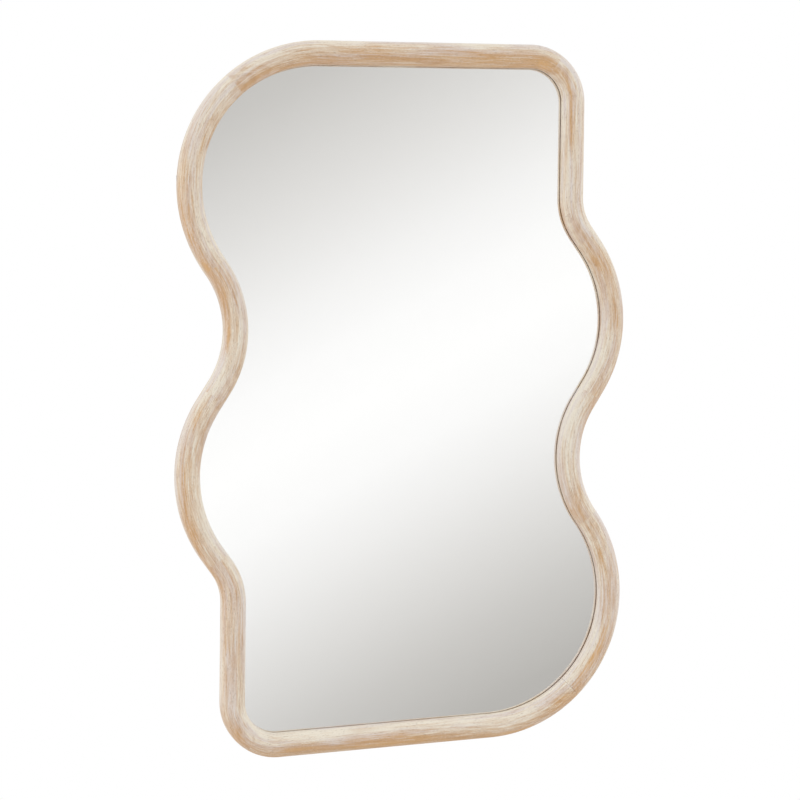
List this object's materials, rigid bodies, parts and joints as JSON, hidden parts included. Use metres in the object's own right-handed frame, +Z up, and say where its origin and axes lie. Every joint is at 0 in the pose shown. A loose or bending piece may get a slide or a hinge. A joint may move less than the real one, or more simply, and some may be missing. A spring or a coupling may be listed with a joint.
{
  "type": "wall mirror",
  "caption": "Wall mirror of irregular wavy outline: a half-round whitewashed wood frame round one silvered pane, with swinging D-ring hangers behind.",
  "frame": {"origin": "on the wall plane, at the middle of the frame's width and height", "axes": "+Z up along the frame's height, +X to the right seen from the front, +Y from the mirror to the wall"},
  "size_m": [0.6096, 0.03, 0.9144],
  "materials": {
    "frame_wood": "whitewashed, brushed, matt",
    "tenon_wood": "bare",
    "silvered_glass": "polished",
    "hardboard": "smooth hardboard",
    "zinc_steel": "zinc plated",
    "grey_rubber": "matt"
  },
  "bodies": {
    "mirror": {"frame_top_rail": "frame_wood", "frame_right_stile": "frame_wood", "frame_right_bulge": "frame_wood", "frame_right_waist": "frame_wood", "frame_right_corner": "frame_wood", "frame_bottom_rail": "frame_wood", "frame_left_stile": "frame_wood", "frame_left_bulge": "frame_wood", "frame_left_waist": "frame_wood", "frame_left_corner": "frame_wood", "tenon_left_corner_to_top_rail": "tenon_wood", "tenon_top_rail_to_right_stile": "tenon_wood", "tenon_right_stile_to_right_bulge": "tenon_wood", "tenon_right_bulge_to_right_waist": "tenon_wood", "tenon_right_waist_to_right_corner": "tenon_wood", "tenon_right_corner_to_bottom_rail": "tenon_wood", "tenon_bottom_rail_to_left_stile": "tenon_wood", "tenon_left_stile_to_left_bulge": "tenon_wood", "tenon_left_bulge_to_left_waist": "tenon_wood", "tenon_left_waist_to_left_corner": "tenon_wood", "mirror_pane": "silvered_glass", "back_board": "hardboard", "board_screw_1": "zinc_steel", "board_screw_2": "zinc_steel", "board_screw_3": "zinc_steel", "board_screw_4": "zinc_steel", "board_screw_5": "zinc_steel", "board_screw_6": "zinc_steel", "board_screw_7": "zinc_steel", "board_screw_8": "zinc_steel", "board_screw_9": "zinc_steel", "board_screw_10": "zinc_steel", "board_screw_11": "zinc_steel", "board_screw_12": "zinc_steel", "left_hanger_strap": "zinc_steel", "left_hanger_screw_upper": "zinc_steel", "left_hanger_screw_lower": "zinc_steel", "right_hanger_strap": "zinc_steel", "right_hanger_screw_upper": "zinc_steel", "right_hanger_screw_lower": "zinc_steel", "bumper_top_left": "grey_rubber", "bumper_top_right": "grey_rubber", "bumper_bottom_right": "grey_rubber", "bumper_bottom_left": "grey_rubber"},
    "left_ring": {"left_hanger_ring": "zinc_steel"},
    "right_ring": {"right_hanger_ring": "zinc_steel"}
  },
  "joints": [
    {"name": "left_ring_swing", "type": "hinge", "parent": "mirror", "child": "left_ring", "pos_m": [-0.28155, -0.0033, 0.28737], "axis": [1, 0, 0], "range_deg": [0, 180]},
    {"name": "right_ring_swing", "type": "hinge", "parent": "mirror", "child": "right_ring", "pos_m": [0.2434, -0.0033, 0.28737], "axis": [1, 0, 0], "range_deg": [0, 180]}
  ]
}
